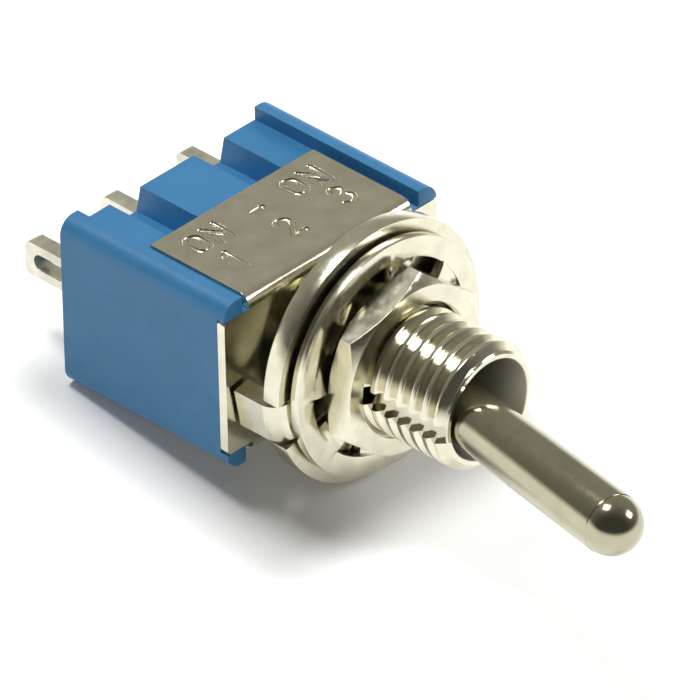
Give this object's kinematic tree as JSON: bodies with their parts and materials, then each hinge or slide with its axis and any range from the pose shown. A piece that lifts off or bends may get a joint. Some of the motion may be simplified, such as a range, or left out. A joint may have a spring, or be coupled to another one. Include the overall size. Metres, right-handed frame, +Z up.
{
  "type": "miniature toggle switch",
  "caption": "Miniature toggle switch with a blue moulded case, plated frame, threaded bushing, nuts, locating ring, toothed washer, bat lever and eyelet lugs.",
  "frame": {"origin": "where the bushing's axis meets the front face of the metal frame", "axes": "-Y along the bushing towards the lever's tip, X across the case along the lever's throw and the row of lugs, +Z up through the case's thickness"},
  "size_m": [0.0132, 0.0341, 0.0124],
  "materials": {
    "blue_plastic": "satin moulded thermoset, mid blue",
    "plated_steel": "bright nickel plate on pressed steel sheet",
    "plated_brass": "bright nickel plate on turned brass",
    "lever_metal": "polished nickel plate on turned brass",
    "spring_steel": "drawn stainless wire",
    "plunger_plastic": "natural acetal",
    "contact_metal": "silver plate on copper alloy",
    "terminal_metal": "tinned copper alloy",
    "sealing_resin": "cast sealing resin",
    "insulating_board": "pressed phenolic board"
  },
  "bodies": {
    "switch_body": {"case": "blue_plastic", "frame": "plated_steel", "bushing": "plated_brass", "terminal_right": "terminal_metal", "terminal_left": "terminal_metal", "terminal_centre": "terminal_metal", "fixed_contact_right": "contact_metal", "fixed_contact_left": "contact_metal", "blade_saddle": "contact_metal", "terminal_seal": "sealing_resin", "insulating_washer": "insulating_board", "mounting_nuts": "plated_brass", "locating_ring": "plated_steel", "lock_washer": "plated_steel"},
    "lever": {"lever": "lever_metal", "lever_pin": "spring_steel", "plunger_spring": "spring_steel"},
    "plunger": {"plunger": "plunger_plastic"},
    "contact_blade": {"contact_blade": "contact_metal", "moving_contact_right": "contact_metal", "moving_contact_left": "contact_metal"}
  },
  "joints": [
    {"name": "lever_toggle", "type": "hinge", "parent": "switch_body", "child": "lever", "pos_m": [0, -0.004, 0], "axis": [0, 0, 1], "range_deg": [0, 20.1]},
    {"name": "plunger_slide", "type": "slide", "parent": "lever", "child": "plunger", "axis": [-0.1746, -0.9846, 0], "range_m": [0, 0.0006], "stiffness_N_per_m": 100, "springref_m": -0.001, "deforming": ["plunger_spring"]},
    {"name": "blade_rock", "type": "hinge", "parent": "switch_body", "child": "contact_blade", "pos_m": [0, 0.00621, 0], "axis": [0, 0, 1], "range_deg": [-14, 0]}
  ],
  "couplings": [
    {"joint": "blade_rock", "follows": "lever_toggle", "ratio": -0.6965}
  ]
}
